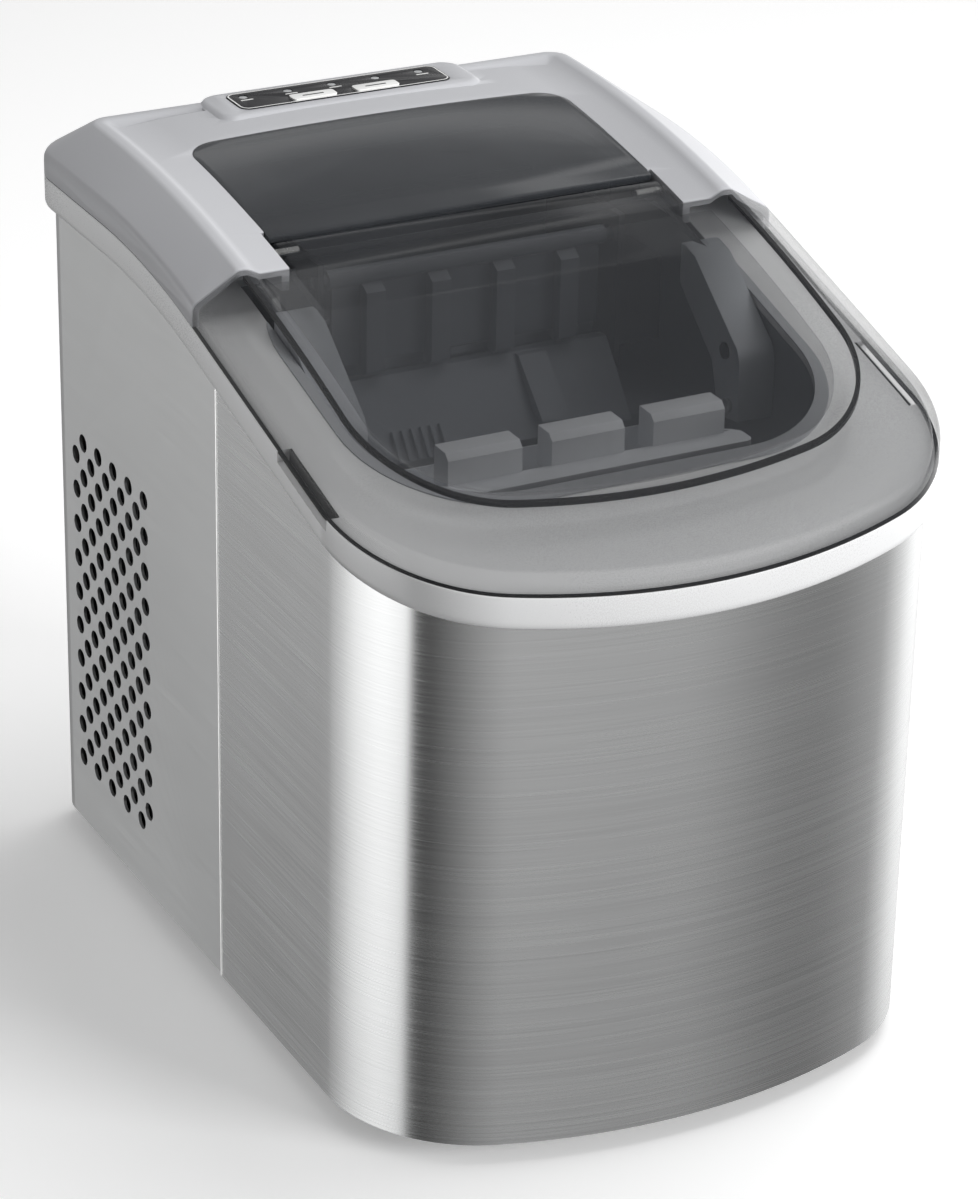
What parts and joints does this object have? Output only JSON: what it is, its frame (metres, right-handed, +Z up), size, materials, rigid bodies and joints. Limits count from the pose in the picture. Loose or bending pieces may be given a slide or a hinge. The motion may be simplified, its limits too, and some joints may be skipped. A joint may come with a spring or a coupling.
{
  "type": "ice maker",
  "caption": "Countertop ice maker: brushed steel body, sloping smoked flip-up lid over an ice chamber with a lift-out basket, tilting tray and shovel, and a compressor behind.",
  "frame": {"origin": "on the floor under the middle of the body, at the bottom of the feet", "axes": "+X to the right seen from the front, +Y to the back, +Z up"},
  "size_m": [0.242, 0.3373, 0.3086],
  "materials": {
    "stainless_wrap": "horizontal brushed stainless steel",
    "satin_cover": "fine satin steel",
    "silver_plastic": "satin silver painted plastic",
    "pale_lip": "pale silver plastic, semi-gloss",
    "smoked_clear": "smoked transparent plastic, polished",
    "fascia_black": "black printed film, satin",
    "lamp_lens": "frosted light guide",
    "button_white": "white moulded plastic",
    "grey_plastic": "mid-grey moulded plastic",
    "dark_plastic": "dark moulded plastic",
    "black_rubber": "matte rubber",
    "copper_pipe": "drawn copper",
    "black_enamel": "black enamelled steel",
    "plated_metal": "bright plated metal",
    "aluminium_fins": "mill finish aluminium",
    "foam_white": "expanded foam",
    "circuit_board": "green circuit board",
    "clear_hose": "translucent hose"
  },
  "bodies": {
    "casing": {"base_tray": "dark_plastic", "front_wrap": "stainless_wrap", "rear_cover": "satin_cover", "top_frame": "pale_lip", "rear_bezel": "silver_plastic", "upper_window": "smoked_clear", "left_hinge_pin": "plated_metal", "right_hinge_pin": "plated_metal", "left_sensor_housing": "grey_plastic", "left_sensor_screw": "plated_metal", "left_sensor_eye": "dark_plastic", "right_sensor_housing": "grey_plastic", "right_sensor_screw": "plated_metal", "right_sensor_eye": "dark_plastic", "control_fascia": "fascia_black", "light_guide": "lamp_lens", "display_board": "circuit_board", "main_board": "circuit_board", "inner_liner": "grey_plastic", "foam_jacket": "foam_white", "level_sensor": "dark_plastic", "ice_chute": "grey_plastic", "mechanism_frame": "dark_plastic", "tray_motor": "dark_plastic", "evaporator": "plated_metal", "compressor": "black_enamel", "terminal_cover": "dark_plastic", "compressor_grommet_1": "black_rubber", "compressor_grommet_2": "black_rubber", "compressor_grommet_3": "black_rubber", "condenser": "aluminium_fins", "fan_shroud": "dark_plastic", "fan_motor": "black_enamel", "filter_drier": "copper_pipe", "hot_gas_valve": "plated_metal", "discharge_line": "copper_pipe", "liquid_line": "copper_pipe", "suction_line": "copper_pipe", "hot_gas_line": "copper_pipe", "capillary_tube": "copper_pipe", "pump_housing": "dark_plastic", "water_hose": "clear_hose", "power_inlet": "dark_plastic", "foot_1": "black_rubber", "foot_screw_1": "plated_metal", "foot_2": "black_rubber", "foot_screw_2": "plated_metal", "foot_3": "black_rubber", "foot_screw_3": "plated_metal", "foot_4": "black_rubber", "foot_screw_4": "plated_metal"},
    "lid": {"lid": "smoked_clear"},
    "on_off_button": {"on_off_button": "button_white"},
    "select_button": {"select_button": "button_white"},
    "ice_basket": {"ice_basket": "grey_plastic"},
    "water_tray": {"water_tray": "grey_plastic"},
    "ice_shovel": {"ice_shovel": "grey_plastic"},
    "fan_blade": {"fan_blade": "dark_plastic"},
    "pump_impeller": {"pump_impeller": "button_white"},
    "drain_cap": {"drain_cap": "black_rubber"}
  },
  "joints": [
    {"name": "lid_hinge", "type": "hinge", "parent": "casing", "child": "lid", "pos_m": [0, 0.0275, 0.2899], "axis": [-1, 0, 0], "range_deg": [0, 88]},
    {"name": "on_off_press", "type": "slide", "parent": "casing", "child": "on_off_button", "axis": [0, 0, -1], "range_m": [0, 0.001], "stiffness_N_per_m": 400, "springref_m": -0.0005},
    {"name": "select_press", "type": "slide", "parent": "casing", "child": "select_button", "axis": [0, 0, -1], "range_m": [0, 0.001], "stiffness_N_per_m": 400, "springref_m": -0.0005},
    {"name": "basket_lift", "type": "slide", "parent": "casing", "child": "ice_basket", "axis": [0, 0, 1], "range_m": [0, 0.018]},
    {"name": "tray_tilt", "type": "hinge", "parent": "casing", "child": "water_tray", "pos_m": [0, 0.056, 0.238], "axis": [1, 0, 0], "range_deg": [0, 90]},
    {"name": "shovel_swing", "type": "hinge", "parent": "casing", "child": "ice_shovel", "pos_m": [0, 0.03, 0.275], "axis": [-1, 0, 0], "range_deg": [0, 50]},
    {"name": "fan_spin", "type": "hinge", "parent": "casing", "child": "fan_blade", "pos_m": [-0.09, 0.102, 0.112], "axis": [1, 0, 0], "continuous": true},
    {"name": "pump_spin", "type": "hinge", "parent": "casing", "child": "pump_impeller", "pos_m": [-0.06, 0.038, 0.02], "axis": [0, 0, 1], "continuous": true},
    {"name": "drain_cap_turn", "type": "hinge", "parent": "casing", "child": "drain_cap", "pos_m": [-0.048, -0.084, 0.01], "axis": [0, 0, 1], "range_deg": [0, 90]}
  ],
  "couplings": [
    {"joint": "shovel_swing", "follows": "tray_tilt", "ratio": 0.55}
  ]
}
